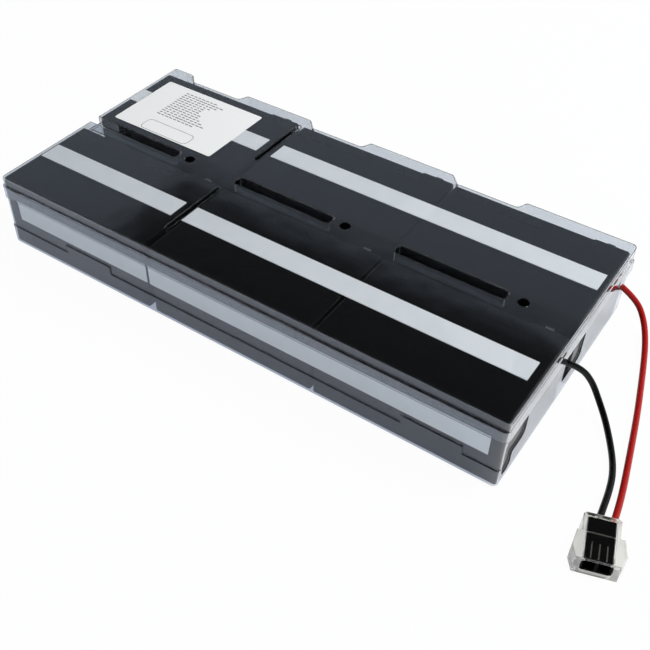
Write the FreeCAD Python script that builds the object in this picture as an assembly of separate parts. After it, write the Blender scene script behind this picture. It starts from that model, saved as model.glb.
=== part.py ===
"""Battery pack of an uninterruptible power supply.

Six sealed lead-acid blocks lie on their broad sides in two rows of three, lids towards +Y.
A clear formed tray and a clear formed cover hold them. The blocks are wired in series and
two leads leave the end wall for a two-pole connector that lies on the floor.
Millimetres, X along the pack, Z up, origin under the middle of the shell.
"""
import FreeCAD
import Part
import math
import os
from FreeCAD import Vector

# Sealed block
BLOCK_LENGTH = 151.0
BLOCK_HEIGHT = 94.0
BLOCK_THICKNESS = 65.0
CASE_RADIUS = 2.2
FOOT_RADIUS = 2.0
LID_HEIGHT = 14.0
LID_STEP = 2.0
LID_EDGE_RADIUS = 0.8
JOINT_CHAMFER = 0.5
PLINTH_LENGTH = 27.0
VENT_COVER_LENGTH = 104.0
VENT_COVER_WIDTH = 36.0
VENT_COVER_THICKNESS = 1.4
VENT_COVER_SEAT = 0.7
VENT_COVER_RADIUS = 4.0
VENT_COVER_FIT = 0.15
VENT_RELIEF_WIDTH = 3.0
VENT_RELIEF_DEPTH = 0.5
VENT_RELIEF_SPACING = 16.0
VENT_RELIEFS = 6

# Blade terminals, one above the other at the +X end of each lid
TERMINAL_FROM_END = 17.0
TERMINAL_SPACING = 44.0
WELL_LENGTH = 12.0
WELL_WIDTH = 14.0
WELL_DEPTH = 3.0
BLADE_WIDTH = 6.35
BLADE_THICKNESS = 0.8
BLADE_REACH = 6.0
BLADE_HOLE = 1.8
BLADE_CHAMFER = 1.2
BLADE_BASE = 8.0
BLADE_BASE_THICKNESS = 1.0

# Layout of the blocks
COLUMNS = 3
ROWS = 2
COLUMN_GAPS = (6.0, 2.0)
ROW_GAP = 20.0

# Clear formed sheet
SHEET = 0.9
END_CLEARANCE = 0.4
SKIRT_FIT = 0.3
TROUGH_DEPTH = 9.8
LIP_HEIGHT = 48.0
SHOULDER_HEIGHT = 58.0
RIM_BELOW_SHOULDER = 1.0
TROUGH_LEDGE_HEIGHT = 51.0
TROUGH_LIP_HEIGHT = 41.0
WALL_LEDGE_HEIGHT = 17.5
WALL_LEDGE_OUT = 0.8
LUG_FROM_BLOCK_STARTS = {0: 65.0, 2: 76.0}
LUG_LENGTH = 47.0
LUG_HEIGHT = 7.5
END_OPENING_TOP = 46.0
END_OPENING_RADIUS = 6.0
CORNER_RADIUS = 3.0
COVER_EDGE_RADIUS = 0.6
COVER_END_STEP = 0.5
FOOT_EDGE_RADIUS = 2.5
HOOD_CORNER_RADIUS = 3.5
HOOD_REACHES = (68.0, 91.0, 95.0)
HOOD_OVERRUNS = (14.0, 2.0)
HOOD_NEAR_SLANT = 4.0
HOOD_FAR_SLANT = 9.0
CORNER_HOOD_LENGTH = 29.0

# Openings in the end wall under the cover's lip: row, start from the row's feet, length, sill height
END_OPENINGS = (
    (0, 2.0, 13.5, 9.0),
    (0, 9.0, 26.0, 23.0),
    (1, -16.5, 34.5, 17.0),
)

# Recesses formed into the sheet between the blocks, and the vent hole after each slot
SLOT_START = 3.0
SLOT_END = 96.0
SLOT_WIDTH = 10.0
SLOT_DEPTH = 8.4
SLOT_RADIUS = 3.0
VENT_HOLE_FROM_START = 109.0
VENT_HOLE_DIAMETER = 9.0
GROOVE_WIDTH = 3.6
GROOVE_DEPTH = 10.0
GROOVE_START = 25.5
GROOVE_END = 91.0
RECESS_EDGE_RADIUS = 0.8
RECESS_ROUNDING = 0.48

# White foam tape
TAPE_WIDTH = 20.0
TAPE_THICKNESS = 0.5
TAPE_PLAY = 0.2
TAPE_FROM_FOOT = (40.0, 37.5)
SHORT_TAPE_STARTS = (3.0, 1.0)
SHORT_TAPE_END_INSET = 5.5
LONG_TAPE_STARTS = (0.0, 4.0)
LONG_TAPE_END_INSETS = (7.0, 4.0)
SIDE_TAPE_WIDTH = 19.0
SIDE_TAPE_HEIGHT = 29.0
SIDE_TAPE_START = 12.5
SIDE_TAPE_SPLIT = 2.5
SIDE_TAPE_END_INSET = 9.5

# Plain label on the cover
LABEL_LENGTH = 108.0
LABEL_WIDTH = 76.0
LABEL_THICKNESS = 0.12
LABEL_RADIUS = 2.0
LABEL_FROM_END = 11.5
LABEL_FROM_LID = 12.0

# Wiring
WIRE_DIAMETER = 4.8
WIRE_ABOVE_LID = 4.4
WIRE_TURN_RADIUS = 6.5
WIRE_TURN_DROP = 15.5
LINK_LEVEL_RUN = 40.0
RECEPTACLE_WIDTH = 7.8
RECEPTACLE_THICKNESS = 2.6
RECEPTACLE_HEIGHT = 6.6
RECEPTACLE_LIFT = 0.4
RECEPTACLE_FIT = 0.05
BARREL_DIAMETER = 4.0
BARREL_LENGTH = 6.0
BOOT_WALL = 0.9
BOOT_FIT = 0.1
BOOT_OVER_WIRE = 3.0
LEAD_HOLE_CLEARANCE = 0.8
LEAD_TAIL_RADIUS = 10.0

# Route of each lead from the end wall to the connector, along the middle of the wire
LEAD_EXIT_HEIGHTS = {"positive": 28.0, "negative": 31.5}
LEAD_EXIT_SHIFTS = {"positive": 0.0, "negative": 7.6}
LEAD_EXIT_DROPS = {"positive": 6.0, "negative": 3.0}
LEAD_START_RUN = 14.0
ROUTE_ROUNDING = 0.45
POSITIVE_ROUTE = (
    (257.2, 97.6, 13.0),
    (265.8, 79.5, 4.6),
    (272.6, 56.5, 2.6),
    (279.2, 32.0, 2.7),
    (285.8, 8.0, 2.6),
    (292.3, -16.5, 2.7),
    (298.2, -41.0, 2.6),
    (303.2, -65.0, 4.6),
)
NEGATIVE_ROUTE = (
    (257.0, 3.6, 21.4),
    (265.6, -2.6, 11.8),
    (272.8, -13.2, 5.4),
    (280.0, -27.2, 2.7),
    (287.4, -42.6, 2.6),
    (292.6, -58.0, 3.6),
    (296.2, -73.5, 6.0),
)
LEAD_END_RUN = 12.0
LEAD_ENTRY_SHIFT = 2.4

# Two-pole connector
CONNECTOR_X = 313.0
CONNECTOR_Y = -135.4
CONNECTOR_TURN = 17.5
CONNECTOR_LENGTH = 36.5
CONNECTOR_HEIGHT = 16.5
CONNECTOR_REAR_WIDTH = 24.6
CONNECTOR_REAR_LENGTH = 15.0
CONNECTOR_REAR_CHAMFER = 1.6
CONNECTOR_STEP_WIDTH = 30.6
CONNECTOR_WAIST_WIDTH = 34.8
CONNECTOR_WAIST_FROM_MOUTH = 9.0
CONNECTOR_MOUTH_WIDTH = 28.6
CONNECTOR_REAR_WALL = 3.0
CONNECTOR_EDGE_RADIUS = 1.0
CORE_WIDTH = 20.0
CORE_HEIGHT = 12.0
CORE_MOUTH_DEPTH = 1.5
CORE_FIT = 0.2
CORE_RADIUS = 2.0
POLE_SPACING = 9.4
POLE_WIDTH = 7.4
POLE_HEIGHT = 8.4
POLE_DEPTH = 21.0
CONTACT_WIDTH = 5.6
CONTACT_HEIGHT = 6.4
CONTACT_WALL = 0.7
CONTACT_LENGTH = 11.0
WINDOW_RIB_WIDTH = 0.9
WINDOW_RIB_DEPTH = 1.2
WINDOW_RIB_LENGTH = 12.0
WINDOW_RIBS = 3

# Derived layout
BLOCKS_LENGTH = COLUMNS * BLOCK_LENGTH + sum(COLUMN_GAPS)
BLOCKS_DEPTH = ROWS * BLOCK_HEIGHT + ROW_GAP
FRONT_CLEARANCE = TAPE_THICKNESS + TAPE_PLAY
SKIRT_JOGGLE = SHEET + SKIRT_FIT
LIP_REACH = SKIRT_JOGGLE + SHEET
SHELL_DEPTH = BLOCKS_DEPTH + FRONT_CLEARANCE + TROUGH_DEPTH + 2 * LIP_REACH
FRONT_FOOT = -SHELL_DEPTH / 2 + LIP_REACH + FRONT_CLEARANCE
ROW_FEET = (FRONT_FOOT, FRONT_FOOT + BLOCK_HEIGHT + ROW_GAP)
ROW_LIDS = tuple(foot + BLOCK_HEIGHT for foot in ROW_FEET)
BLOCK_TOP = SHEET + BLOCK_THICKNESS
COVER_UNDERSIDE = BLOCK_TOP + TAPE_THICKNESS
COVER_TOP = COVER_UNDERSIDE + SHEET
END_LEFT = -BLOCKS_LENGTH / 2 - END_CLEARANCE
END_RIGHT = BLOCKS_LENGTH / 2 + END_CLEARANCE
COVER_RIGHT = END_RIGHT + SKIRT_JOGGLE - COVER_END_STEP
FRONT_WALL = FRONT_FOOT - FRONT_CLEARANCE
LID_WALL = ROW_LIDS[1] + END_CLEARANCE
TROUGH_WALL = ROW_LIDS[1] + TROUGH_DEPTH
TERMINAL_MIDDLE = SHEET + BLOCK_THICKNESS / 2
TERMINAL_LEVELS = {
    "positive": TERMINAL_MIDDLE + TERMINAL_SPACING / 2,
    "negative": TERMINAL_MIDDLE - TERMINAL_SPACING / 2,
}
WIRE_DIRECTIONS = {"positive": -1, "negative": 1}
LEAD_ROWS = {"positive": 1, "negative": 0}
WIRE_START = RECEPTACLE_WIDTH / 2 + BARREL_LENGTH
OUTSIDE = 20.0
TOLERANCE = 1e-6
PARALLEL = 0.9999


def column_start(column):
    """X of the left end of the blocks in a column."""
    return -BLOCKS_LENGTH / 2 + column * BLOCK_LENGTH + sum(COLUMN_GAPS[:column])


def column_end(column):
    """X of the right end of the blocks in a column."""
    return column_start(column) + BLOCK_LENGTH


def terminal_x(column):
    """X of both terminals of the blocks in a column."""
    return column_end(column) - TERMINAL_FROM_END


def box(x0, x1, y0, y1, z0, z1):
    """Block between two corners."""
    return Part.makeBox(x1 - x0, y1 - y0, z1 - z0, Vector(x0, y0, z0))


def prism(points, z0, z1):
    """Upright prism over a closed outline of XY points."""
    corners = [Vector(x, y, z0) for x, y in points]
    outline = Part.makePolygon(corners + corners[:1])
    return Part.Face(outline).extrude(Vector(0, 0, z1 - z0))


def edges_along(shape, axis):
    """Straight edges of a shape that run parallel to an axis."""
    chosen = []
    for edge in shape.Edges:
        if len(edge.Vertexes) == 2:
            run = edge.Vertexes[1].Point - edge.Vertexes[0].Point
            if run.Length > 0 and abs(run.dot(axis)) > PARALLEL * run.Length:
                chosen.append(edge)
    return chosen


def edges_at_level(shape, level):
    """Edges of a shape that lie wholly at one height."""
    return [
        edge for edge in shape.Edges
        if abs(edge.BoundBox.ZMin - level) < TOLERANCE and abs(edge.BoundBox.ZMax - level) < TOLERANCE
    ]


def rounded_block(x0, x1, y0, y1, z0, z1, radius, axis):
    """Block whose four edges along one axis are rounded."""
    block = box(x0, x1, y0, y1, z0, z1)
    return block.makeFillet(radius, edges_along(block, axis))


def rounded_path(points, largest_radius=None):
    """Straight runs joined by tangent arcs, with the radius of each arc."""
    edges = []
    radii = []
    start = points[0]
    for before, corner, after in zip(points, points[1:], points[2:]):
        back = before - corner
        ahead = after - corner
        half_turn = (math.pi - back.getAngle(ahead)) / 2
        radius = ROUTE_ROUNDING * min(back.Length, ahead.Length) / math.tan(half_turn)
        if largest_radius is not None:
            radius = min(radius, largest_radius)
        setback = radius * math.tan(half_turn)
        back.normalize()
        ahead.normalize()
        inward = (back + ahead).normalize()
        first = corner + back * setback
        last = corner + ahead * setback
        middle = corner + inward * (radius / math.cos(half_turn) - radius)
        edges.append(Part.LineSegment(start, first).toShape())
        edges.append(Part.Arc(first, middle, last).toShape())
        radii.append(radius)
        start = last
    edges.append(Part.LineSegment(start, points[-1]).toShape())
    return Part.Wire(edges), radii


def wire_along(points, largest_radius=None, name=None):
    """Round wire along a route; prints the bend radii of a named one."""
    path, radii = rounded_path(points, largest_radius)
    section = Part.makeCircle(WIRE_DIAMETER / 2, points[0], points[1] - points[0])
    tube = path.makePipeShell([Part.Wire(section)], True, False)
    if name:
        expected = path.Length * math.pi * WIRE_DIAMETER ** 2 / 4
        print(name, "length", round(path.Length, 1), "volume share", round(tube.Volume / expected, 4),
              "radii", [round(radius, 1) for radius in radii])
    return tube


def make_case():
    """Black case of one block, foot at y = 0, right end at x = 0, middle at z = 0."""
    half = BLOCK_THICKNESS / 2
    joint = BLOCK_HEIGHT - LID_HEIGHT
    case = rounded_block(-BLOCK_LENGTH, 0, 0, joint, -half, half, CASE_RADIUS, Vector(0, 1, 0))
    foot = [edge for edge in case.Edges if edge.BoundBox.YMax < TOLERANCE]
    return case.makeFillet(FOOT_RADIUS, foot)


def lid_blank():
    """Lid before its wells are cut: low over the cells, a raised plinth at the terminals."""
    half = BLOCK_THICKNESS / 2
    joint = BLOCK_HEIGHT - LID_HEIGHT
    low = BLOCK_HEIGHT - LID_STEP
    outline = [(-BLOCK_LENGTH, joint), (0, joint), (0, BLOCK_HEIGHT), (-PLINTH_LENGTH, BLOCK_HEIGHT),
               (-PLINTH_LENGTH - LID_STEP, low), (-BLOCK_LENGTH, low)]
    lid = prism(outline, -half, half)
    lid = lid.makeFillet(CASE_RADIUS, edges_along(lid, Vector(0, 1, 0)))
    seam = [edge for edge in lid.Edges if edge.BoundBox.YMax < joint + TOLERANCE]
    lid = lid.makeChamfer(JOINT_CHAMFER, seam)
    rim = [edge for edge in lid.Edges if edge.BoundBox.YMin > BLOCK_HEIGHT - TOLERANCE]
    return lid.makeFillet(LID_EDGE_RADIUS, rim)


def vent_cover_span():
    """X limits of the vent cover, midway between the plinth and the far end."""
    middle = -(BLOCK_LENGTH + PLINTH_LENGTH + LID_STEP) / 2
    return middle - VENT_COVER_LENGTH / 2, middle + VENT_COVER_LENGTH / 2


def make_lid():
    """Lid with its two terminal wells and the seat of the vent cover."""
    lid = lid_blank()
    low = BLOCK_HEIGHT - LID_STEP
    for side in (-1, 1):
        z = side * TERMINAL_SPACING / 2
        x = -TERMINAL_FROM_END
        well = rounded_block(x - WELL_LENGTH / 2, x + WELL_LENGTH / 2,
                             BLOCK_HEIGHT - WELL_DEPTH, BLOCK_HEIGHT + OUTSIDE,
                             z - WELL_WIDTH / 2, z + WELL_WIDTH / 2, LID_EDGE_RADIUS, Vector(0, 1, 0))
        lid = lid.cut(well)
    x0, x1 = vent_cover_span()
    reach = VENT_COVER_WIDTH / 2 + VENT_COVER_FIT
    seat = rounded_block(x0 - VENT_COVER_FIT, x1 + VENT_COVER_FIT, low - VENT_COVER_SEAT, low + OUTSIDE,
                         -reach, reach, VENT_COVER_RADIUS + VENT_COVER_FIT, Vector(0, 1, 0))
    return lid.cut(seat)


def make_vent_cover():
    """Plate glued over the six cell vents, with a relief groove over each cell."""
    seat = BLOCK_HEIGHT - LID_STEP - VENT_COVER_SEAT
    top = seat + VENT_COVER_THICKNESS
    x0, x1 = vent_cover_span()
    half = VENT_COVER_WIDTH / 2
    plate = rounded_block(x0, x1, seat, top, -half, half, VENT_COVER_RADIUS, Vector(0, 1, 0))
    first = (x0 + x1) / 2 - VENT_RELIEF_SPACING * (VENT_RELIEFS - 1) / 2
    for index in range(VENT_RELIEFS):
        x = first + index * VENT_RELIEF_SPACING
        relief = box(x - VENT_RELIEF_WIDTH / 2, x + VENT_RELIEF_WIDTH / 2, top - VENT_RELIEF_DEPTH,
                     top + OUTSIDE, -half / 2, half / 2)
        plate = plate.cut(relief)
    return plate


def make_blade():
    """Blade terminal on its foot plate, standing in a lid well at x = 0, z = 0."""
    floor = BLOCK_HEIGHT - WELL_DEPTH
    tip = BLOCK_HEIGHT + BLADE_REACH
    half = BLADE_WIDTH / 2
    outline = [(floor, -half), (tip - BLADE_CHAMFER, -half), (tip, -half + BLADE_CHAMFER),
               (tip, half - BLADE_CHAMFER), (tip - BLADE_CHAMFER, half), (floor, half)]
    corners = [Vector(-BLADE_THICKNESS / 2, y, z) for y, z in outline]
    blade = Part.Face(Part.makePolygon(corners + corners[:1])).extrude(Vector(BLADE_THICKNESS, 0, 0))
    hole = Part.makeCylinder(BLADE_HOLE / 2, OUTSIDE, Vector(-OUTSIDE / 2, tip - 2 * BLADE_HOLE, 0),
                             Vector(1, 0, 0))
    plate = box(-BLADE_BASE / 2, BLADE_BASE / 2, floor, floor + BLADE_BASE_THICKNESS,
                -BLADE_BASE / 2, BLADE_BASE / 2)
    return blade.cut(hole).fuse(plate).removeSplitter()


def make_receptacle():
    """Flag receptacle over a blade; its crimp barrel points along +Z from y = 0 at the lid."""
    half = RECEPTACLE_WIDTH / 2
    body = box(-RECEPTACLE_THICKNESS / 2, RECEPTACLE_THICKNESS / 2, RECEPTACLE_LIFT,
               RECEPTACLE_LIFT + RECEPTACLE_HEIGHT, -half, half)
    slit_half = BLADE_THICKNESS / 2 + RECEPTACLE_FIT
    slit_reach = BLADE_WIDTH / 2 + RECEPTACLE_FIT
    slit = box(-slit_half, slit_half, -OUTSIDE, BLADE_REACH, -slit_reach, slit_reach)
    barrel = Part.makeCylinder(BARREL_DIAMETER / 2, BARREL_LENGTH, Vector(0, WIRE_ABOVE_LID, half))
    return body.cut(slit).fuse(barrel).removeSplitter()


def make_boot():
    """Insulating boot over a receptacle, its barrel and the first few millimetres of wire."""
    half = RECEPTACLE_WIDTH / 2 + BOOT_FIT
    reach = max(RECEPTACLE_THICKNESS, WIRE_DIAMETER) / 2 + BOOT_FIT
    top = RECEPTACLE_LIFT + RECEPTACLE_HEIGHT
    end = WIRE_START + BOOT_OVER_WIRE
    shell = rounded_block(-reach - BOOT_WALL, reach + BOOT_WALL, RECEPTACLE_LIFT, top + BOOT_WALL,
                          -half - BOOT_WALL, end, BOOT_WALL, Vector(0, 0, 1))
    room = box(-reach, reach, -OUTSIDE, top, -half, half)
    bore = Part.makeCylinder(WIRE_DIAMETER / 2 + BOOT_FIT, OUTSIDE, Vector(0, WIRE_ABOVE_LID, 0))
    return shell.cut(room.fuse(bore))


def hood_outlines(grow):
    """Plan outlines of the hoods that the cover raises over the back terminals."""
    spans = [(END_LEFT, 0.0, END_LEFT + CORNER_HOOD_LENGTH, HOOD_FAR_SLANT)]
    for column in range(COLUMNS):
        start = column_end(column) - HOOD_REACHES[column]
        if column < COLUMNS - 1:
            spans.append((start, HOOD_NEAR_SLANT, column_end(column) + HOOD_OVERRUNS[column], HOOD_FAR_SLANT))
        else:
            spans.append((start, HOOD_NEAR_SLANT, COVER_RIGHT, 0.0))
    root = ROW_FEET[1]
    outlines = []
    for start, near_slant, end, far_slant in spans:
        outlines.append([
            (start - grow, root), (start - grow, LID_WALL + grow),
            (start - grow + near_slant, TROUGH_WALL + grow), (end + grow - far_slant, TROUGH_WALL + grow),
            (end + grow, LID_WALL + grow), (end + grow, root),
        ])
    return outlines


def rounded_recess(x0, x1, y0, y1, z0, z1, extra):
    """Cutter for a slot or groove with round corners, larger all round by the sheet it leaves."""
    radius = min(SLOT_RADIUS, RECESS_ROUNDING * (y1 - y0), RECESS_ROUNDING * (x1 - x0)) + extra
    return rounded_block(x0 - extra, x1 + extra, y0 - extra, y1 + extra, z0, z1, radius, Vector(0, 0, 1))


def recess_plans():
    """Plan limits and depth of the slots in the row gap and the grooves in the first column gap."""
    plans = []
    slot_back = ROW_FEET[1] - END_CLEARANCE - SHEET
    for column in range(COLUMNS):
        start = column_start(column) + SLOT_START if column else END_LEFT - OUTSIDE
        end = column_start(column) + SLOT_END
        plans.append((start, end, slot_back - SLOT_WIDTH, slot_back, SLOT_DEPTH))
    middle = column_end(0) + COLUMN_GAPS[0] / 2
    for foot in ROW_FEET:
        plans.append((middle - GROOVE_WIDTH / 2, middle + GROOVE_WIDTH / 2,
                      foot + GROOVE_START, foot + GROOVE_END, GROOVE_DEPTH))
    return plans


def vent_holes():
    """Cutters for the round vent holes of the cover in the row gap."""
    y = ROW_FEET[1] - END_CLEARANCE - SHEET - SLOT_WIDTH / 2
    return [
        Part.makeCylinder(VENT_HOLE_DIAMETER / 2, OUTSIDE,
                          Vector(column_start(column) + VENT_HOLE_FROM_START, y, COVER_TOP - OUTSIDE / 2))
        for column in range(COLUMNS)
    ]


def recesses(grow, top):
    """All recess cutters of the cover, or of the tray floor, for a form grown by a distance."""
    extra = SHEET - grow
    cutters = []
    for x0, x1, y0, y1, depth in recess_plans():
        if top:
            z0, z1 = COVER_TOP - depth - extra, COVER_TOP + OUTSIDE
        else:
            z0, z1 = -OUTSIDE, depth + extra
        cutters.append(rounded_recess(x0, x1, y0, y1, z0, z1, extra))
    return cutters


def front_rounded(block, radius):
    """Block with the two upright edges nearest the front rounded."""
    nearest = block.BoundBox.YMin
    upright = edges_along(block, Vector(0, 0, 1))
    return block.makeFillet(radius, [edge for edge in upright if edge.BoundBox.YMax < nearest + TOLERANCE])


def cut_all(form, cutters):
    """Form with every cutter taken from it."""
    for cutter in cutters:
        form = form.cut(cutter)
    return form


def cover_form(grow, opening):
    """Solid that fills the cover to its inside face, grown by a distance and lengthened below its lip."""
    lip = LIP_HEIGHT - opening
    top = COVER_UNDERSIDE + grow
    out = grow + SKIRT_JOGGLE
    left = END_LEFT - out
    right = END_RIGHT + out
    upper = box(END_LEFT - grow, COVER_RIGHT + grow, FRONT_WALL - grow, LID_WALL + grow, lip, top)
    for outline in hood_outlines(grow):
        upper = upper.fuse(prism(outline, lip, top))
    upper = front_rounded(upper.removeSplitter(), CORNER_RADIUS + grow)
    upright = edges_along(upper, Vector(0, 0, 1))
    hood_corners = [edge for edge in upright if edge.BoundBox.YMin > LID_WALL - TOLERANCE]
    upper = upper.makeFillet(HOOD_CORNER_RADIUS, hood_corners)
    upper = upper.makeFillet(COVER_EDGE_RADIUS + grow, edges_at_level(upper, top))
    skirt = box(left, right, FRONT_WALL - out, LID_WALL + grow, lip, SHOULDER_HEIGHT + grow)
    skirt = front_rounded(skirt, CORNER_RADIUS + out)
    trough = box(left, right, LID_WALL - LID_HEIGHT, TROUGH_WALL + out,
                 TROUGH_LIP_HEIGHT - opening, TROUGH_LEDGE_HEIGHT + grow)
    return cut_all(upper.fuse([skirt, trough]), recesses(grow, True)).removeSplitter()


def recess_rims(form):
    """Edges where the recesses of the cover meet its top."""
    plans = [plan[:4] for plan in recess_plans()]
    rims = []
    for edge in edges_at_level(form, COVER_TOP):
        middle = edge.CenterOfMass
        if any(x0 <= middle.x <= x1 and y0 <= middle.y <= y1 for x0, x1, y0, y1 in plans):
            rims.append(edge)
    return rims


def make_cover():
    """Clear formed cover: flat top, hoods at the back, joggled skirt over the tray wall."""
    outer = cover_form(SHEET, 0.0)
    outer = outer.makeFillet(RECESS_EDGE_RADIUS, recess_rims(outer))
    return cut_all(outer.cut(cover_form(0.0, OUTSIDE)), vent_holes())


def tray_form(grow, opening):
    """Solid that fills the tray to its inside face, grown by a distance and raised above its rim."""
    floor = SHEET - grow
    rim = SHOULDER_HEIGHT - RIM_BELOW_SHOULDER + opening
    walls = rounded_block(END_LEFT - grow, END_RIGHT + grow, FRONT_WALL - grow, TROUGH_WALL + grow,
                          floor, rim, CORNER_RADIUS + grow, Vector(0, 0, 1))
    out = grow + WALL_LEDGE_OUT
    band = rounded_block(END_LEFT - grow, END_RIGHT + grow, FRONT_WALL - out, TROUGH_WALL + out,
                         floor, WALL_LEDGE_HEIGHT + grow, CORNER_RADIUS + grow, Vector(0, 0, 1))
    band = band.makeFillet(FOOT_EDGE_RADIUS + grow, edges_at_level(band, floor))
    for column, from_start in LUG_FROM_BLOCK_STARTS.items():
        start = column_start(column) + from_start
        lug = box(start - grow, start + LUG_LENGTH + grow, FRONT_WALL - out, FRONT_WALL + grow,
                  WALL_LEDGE_HEIGHT / 2, WALL_LEDGE_HEIGHT + LUG_HEIGHT + grow)
        band = band.fuse(lug)
    foot = box(END_LEFT - OUTSIDE, END_RIGHT + OUTSIDE, FRONT_WALL - OUTSIDE, TROUGH_WALL + OUTSIDE,
               floor - OUTSIDE, floor + FOOT_EDGE_RADIUS + grow)
    return cut_all(walls.cut(foot).fuse(band), recesses(grow, False)).removeSplitter()


def lead_exits():
    """Points where the two leads leave the end wall."""
    return {
        pole: Vector(END_RIGHT + SHEET, ROW_LIDS[row] + WIRE_ABOVE_LID + LEAD_EXIT_SHIFTS[pole],
                     LEAD_EXIT_HEIGHTS[pole])
        for pole, row in LEAD_ROWS.items()
    }


def lead_tail_corner(pole):
    """Corner of a lead inside the shell where it turns towards its exit."""
    start = wire_start(COLUMNS - 1, LEAD_ROWS[pole], pole)
    return Vector(start.x, start.y, LEAD_EXIT_HEIGHTS[pole] + LEAD_EXIT_DROPS[pole])


def lead_heading(pole):
    """Direction in which a lead leaves the end wall."""
    return (lead_exits()[pole] - lead_tail_corner(pole)).normalize()


def lead_hole(leave, heading):
    """Cutter for the hole that a lead passes through."""
    radius = (WIRE_DIAMETER + LEAD_HOLE_CLEARANCE) / 2
    return Part.makeCylinder(radius, OUTSIDE, leave - heading * (OUTSIDE / 2), heading)


def end_openings():
    """Cutters for the rounded openings in the right end wall of the tray."""
    cutters = []
    for row, start, length, sill in END_OPENINGS:
        y0 = ROW_FEET[row] + start
        cutters.append(rounded_block(END_RIGHT - SHEET, END_RIGHT + OUTSIDE, y0, y0 + length,
                                     sill, END_OPENING_TOP, END_OPENING_RADIUS, Vector(1, 0, 0)))
    return cutters


def make_tray():
    """Clear formed tray: ledged front, openings in the right end, ribs that keep the rows apart."""
    tray = tray_form(SHEET, 0.0).cut(tray_form(0.0, OUTSIDE))
    low_back = box(END_LEFT - OUTSIDE, END_RIGHT + OUTSIDE, LID_WALL - LID_HEIGHT + SKIRT_FIT,
                   TROUGH_WALL + OUTSIDE, TROUGH_LEDGE_HEIGHT - RIM_BELOW_SHOULDER, COVER_TOP)
    hole = lead_hole(lead_exits()["positive"], lead_heading("positive"))
    return cut_all(tray, [low_back, hole] + end_openings())


def make_tapes():
    """Foam tape: two lengths along each row under the cover, two along the front feet."""
    tapes = {}
    for row, name in enumerate(("front", "back")):
        y0 = ROW_FEET[row] + TAPE_FROM_FOOT[row]
        spans = {
            "short": (column_start(0) + SHORT_TAPE_STARTS[row], column_end(0) - SHORT_TAPE_END_INSET),
            "long": (column_start(1) + LONG_TAPE_STARTS[row], column_end(2) - LONG_TAPE_END_INSETS[row]),
        }
        for length, (x0, x1) in spans.items():
            tapes["tape_top_%s_%s" % (name, length)] = box(
                x0, x1, y0, y0 + TAPE_WIDTH, BLOCK_TOP, BLOCK_TOP + TAPE_THICKNESS)
    split = column_end(0) + COLUMN_GAPS[0] / 2
    sides = {
        "short": (column_start(0) + SIDE_TAPE_START, split - SIDE_TAPE_SPLIT / 2),
        "long": (split + SIDE_TAPE_SPLIT / 2, column_end(2) - SIDE_TAPE_END_INSET),
    }
    for length, (x0, x1) in sides.items():
        tapes["tape_side_%s" % length] = box(
            x0, x1, FRONT_FOOT - TAPE_THICKNESS, FRONT_FOOT,
            SIDE_TAPE_HEIGHT, SIDE_TAPE_HEIGHT + SIDE_TAPE_WIDTH)
    return tapes


def make_label():
    """Plain label on the cover over the first back block."""
    x0 = column_start(0) + LABEL_FROM_END
    y1 = ROW_LIDS[1] - LABEL_FROM_LID
    return rounded_block(x0, x0 + LABEL_LENGTH, y1 - LABEL_WIDTH, y1, COVER_TOP, COVER_TOP + LABEL_THICKNESS,
                         LABEL_RADIUS, Vector(0, 0, 1))


def wire_start(column, row, pole):
    """Middle of the wire where it leaves the receptacle on a terminal."""
    z = TERMINAL_LEVELS[pole] + WIRE_DIRECTIONS[pole] * WIRE_START
    return Vector(terminal_x(column), ROW_LIDS[row] + WIRE_ABOVE_LID, z)


def wire_turn(column, row, pole):
    """Corner where the wire from a terminal turns level."""
    z = TERMINAL_LEVELS[pole] + WIRE_DIRECTIONS[pole] * WIRE_TURN_DROP
    return Vector(terminal_x(column), ROW_LIDS[row] + WIRE_ABOVE_LID, z)


def make_row_link(row, from_column, to_column):
    """Series link along one row, from a positive to a negative terminal."""
    heading = Vector(math.copysign(LINK_LEVEL_RUN, to_column - from_column), 0, 0)
    leave = wire_turn(from_column, row, "positive")
    arrive = wire_turn(to_column, row, "negative")
    points = [wire_start(from_column, row, "positive"), leave, leave + heading,
              arrive - heading, arrive, wire_start(to_column, row, "negative")]
    return wire_along(points, WIRE_TURN_RADIUS)


def make_cross_link():
    """Series link from the front row to the back row, through the gap after the first column."""
    gap = column_end(0) + COLUMN_GAPS[0] / 2
    leave = wire_turn(0, 0, "positive")
    arrive = wire_turn(0, 1, "negative")
    points = [wire_start(0, 0, "positive"), leave, Vector(gap, leave.y, leave.z),
              Vector(gap, arrive.y, arrive.z), arrive, wire_start(0, 1, "negative")]
    return wire_along(points, WIRE_TURN_RADIUS)


def make_lead_tail(pole):
    """Part of a lead inside the shell, from the last block's terminal to the end wall."""
    start = wire_start(COLUMNS - 1, LEAD_ROWS[pole], pole)
    return wire_along([start, lead_tail_corner(pole), lead_exits()[pole]], LEAD_TAIL_RADIUS)


def connector_placement():
    """Place of the connector: mouth at the local origin, cable end towards local -X."""
    turn = FreeCAD.Rotation(Vector(0, 0, 1), CONNECTOR_TURN - 90)
    return FreeCAD.Placement(Vector(CONNECTOR_X, CONNECTOR_Y, 0), turn)


def placed(shape):
    """Connector piece moved from its local frame to where it lies."""
    moved = shape.copy()
    moved.Placement = connector_placement()
    return moved


def pole_sides():
    """Local Y of the two poles, positive first."""
    return {"positive": POLE_SPACING / 2, "negative": -POLE_SPACING / 2}


def core_span():
    """Local X limits of the dark core inside the housing."""
    return CONNECTOR_REAR_WALL - CONNECTOR_LENGTH, -CORE_MOUTH_DEPTH


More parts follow.
